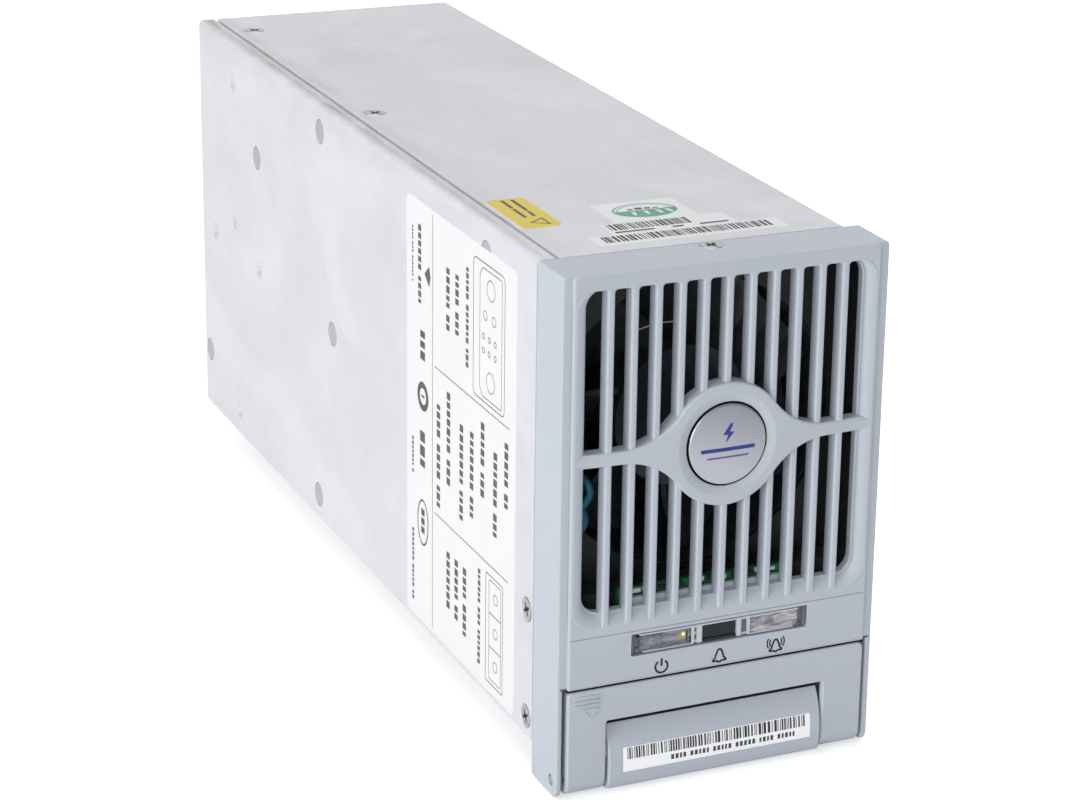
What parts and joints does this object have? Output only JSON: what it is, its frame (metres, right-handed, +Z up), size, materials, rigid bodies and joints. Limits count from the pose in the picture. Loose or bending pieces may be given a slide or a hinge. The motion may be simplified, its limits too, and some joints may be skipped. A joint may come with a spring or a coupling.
{
  "type": "rack power module",
  "caption": "Plug-in rack power module: sheet-metal case, slotted front bezel with round badge and fan behind, flip-down handle that lifts a sprung latch, rear power connectors.",
  "frame": {"origin": "bottom centre of the whole module: the middle of its width and depth, at the lower edge of the front bezel", "axes": "+X to the right seen from the front, +Y from the bezel to the rear connectors, +Z up"},
  "size_m": [0.0852, 0.287, 0.132],
  "materials": {
    "badge_silver": "spun satin silver",
    "bezel_plastic": "fine-textured moulded light grey",
    "black_plastic": "black glass-filled moulding",
    "bright_steel": "zinc-plated",
    "capacitor_sleeve": "dark shrink sleeve",
    "ceramic_white": "white ceramic fuse body",
    "circuit_board": "green solder mask",
    "clear_lens": "clear moulded light guide",
    "copper_winding": null,
    "ferrite": null,
    "galvanised_sheet": "zinc-coated sheet, satin",
    "heatsink_aluminium": "as extruded",
    "insulation_film": "cream insulation film",
    "led_green": "green LED",
    "led_red": "red LED",
    "led_yellow": "yellow LED",
    "teal_sleeve": "flexible wire sleeve",
    "yellow_tape": "yellow polyester"
  },
  "bodies": {
    "housing": {"chassis_base": "galvanised_sheet", "chassis_cover": "galvanised_sheet", "cover_screw_top_1": "bright_steel", "cover_screw_bottom_1": "bright_steel", "cover_screw_top_2": "bright_steel", "cover_screw_bottom_2": "bright_steel", "side_screw_left_1": "bright_steel", "side_screw_right_1": "bright_steel", "side_screw_left_2": "bright_steel", "side_screw_right_2": "bright_steel", "rear_panel": "galvanised_sheet", "fan_bracket": "galvanised_sheet", "bezel_screw": "bright_steel", "front_bezel": "bezel_plastic", "badge_disc": "badge_silver", "light_pipe": "clear_lens", "led_board": "circuit_board", "led_green": "led_green", "led_yellow": "led_yellow", "led_red": "led_red", "hinge_pin_left": "bright_steel", "hinge_pin_right": "bright_steel", "latch_post_left": "bright_steel", "latch_spring_left": "bright_steel", "latch_post_right": "bright_steel", "latch_spring_right": "bright_steel", "fan_frame": "black_plastic", "fan_stator": "ferrite", "fan_cable": "teal_sleeve", "main_board": "circuit_board", "insulation_sheet": "insulation_film", "standoff_1": "bright_steel", "standoff_2": "bright_steel", "standoff_3": "bright_steel", "standoff_4": "bright_steel", "standoff_5": "bright_steel", "standoff_6": "bright_steel", "heatsink_primary": "heatsink_aluminium", "heatsink_secondary": "heatsink_aluminium", "bulk_capacitor_1": "capacitor_sleeve", "bulk_capacitor_2": "capacitor_sleeve", "output_capacitor_1": "capacitor_sleeve", "output_capacitor_2": "capacitor_sleeve", "pfc_choke": "copper_winding", "output_inductor": "copper_winding", "emi_choke": "copper_winding", "transformer_core": "ferrite", "transformer_winding": "yellow_tape", "x_capacitor": "yellow_tape", "relay": "black_plastic", "fuse": "ceramic_white", "control_board": "circuit_board", "dc_connector": "black_plastic", "dc_contacts": "bright_steel", "ac_connector": "black_plastic", "ac_contacts": "bright_steel"},
    "handle": {"handle": "bezel_plastic"},
    "latch": {"latch_slider": "bright_steel"},
    "fan": {"fan_rotor": "black_plastic", "fan_shaft": "bright_steel"}
  },
  "joints": [
    {"name": "handle_hinge", "type": "hinge", "parent": "housing", "child": "handle", "pos_m": [0, -0.1384, 0.0042], "axis": [1, 0, 0], "range_deg": [0, 90]},
    {"name": "latch_slide", "type": "slide", "parent": "housing", "child": "latch", "axis": [0, 0, 1], "range_m": [0, 0.00642], "deforming": ["latch_spring_left", "latch_spring_right"]},
    {"name": "fan_spin", "type": "hinge", "parent": "housing", "child": "fan", "pos_m": [-0.0018, -0.1086, 0.0868], "axis": [0, 1, 0], "continuous": true}
  ],
  "couplings": [
    {"joint": "latch_slide", "follows": "handle_hinge", "m_per_rad": 0.00408}
  ]
}
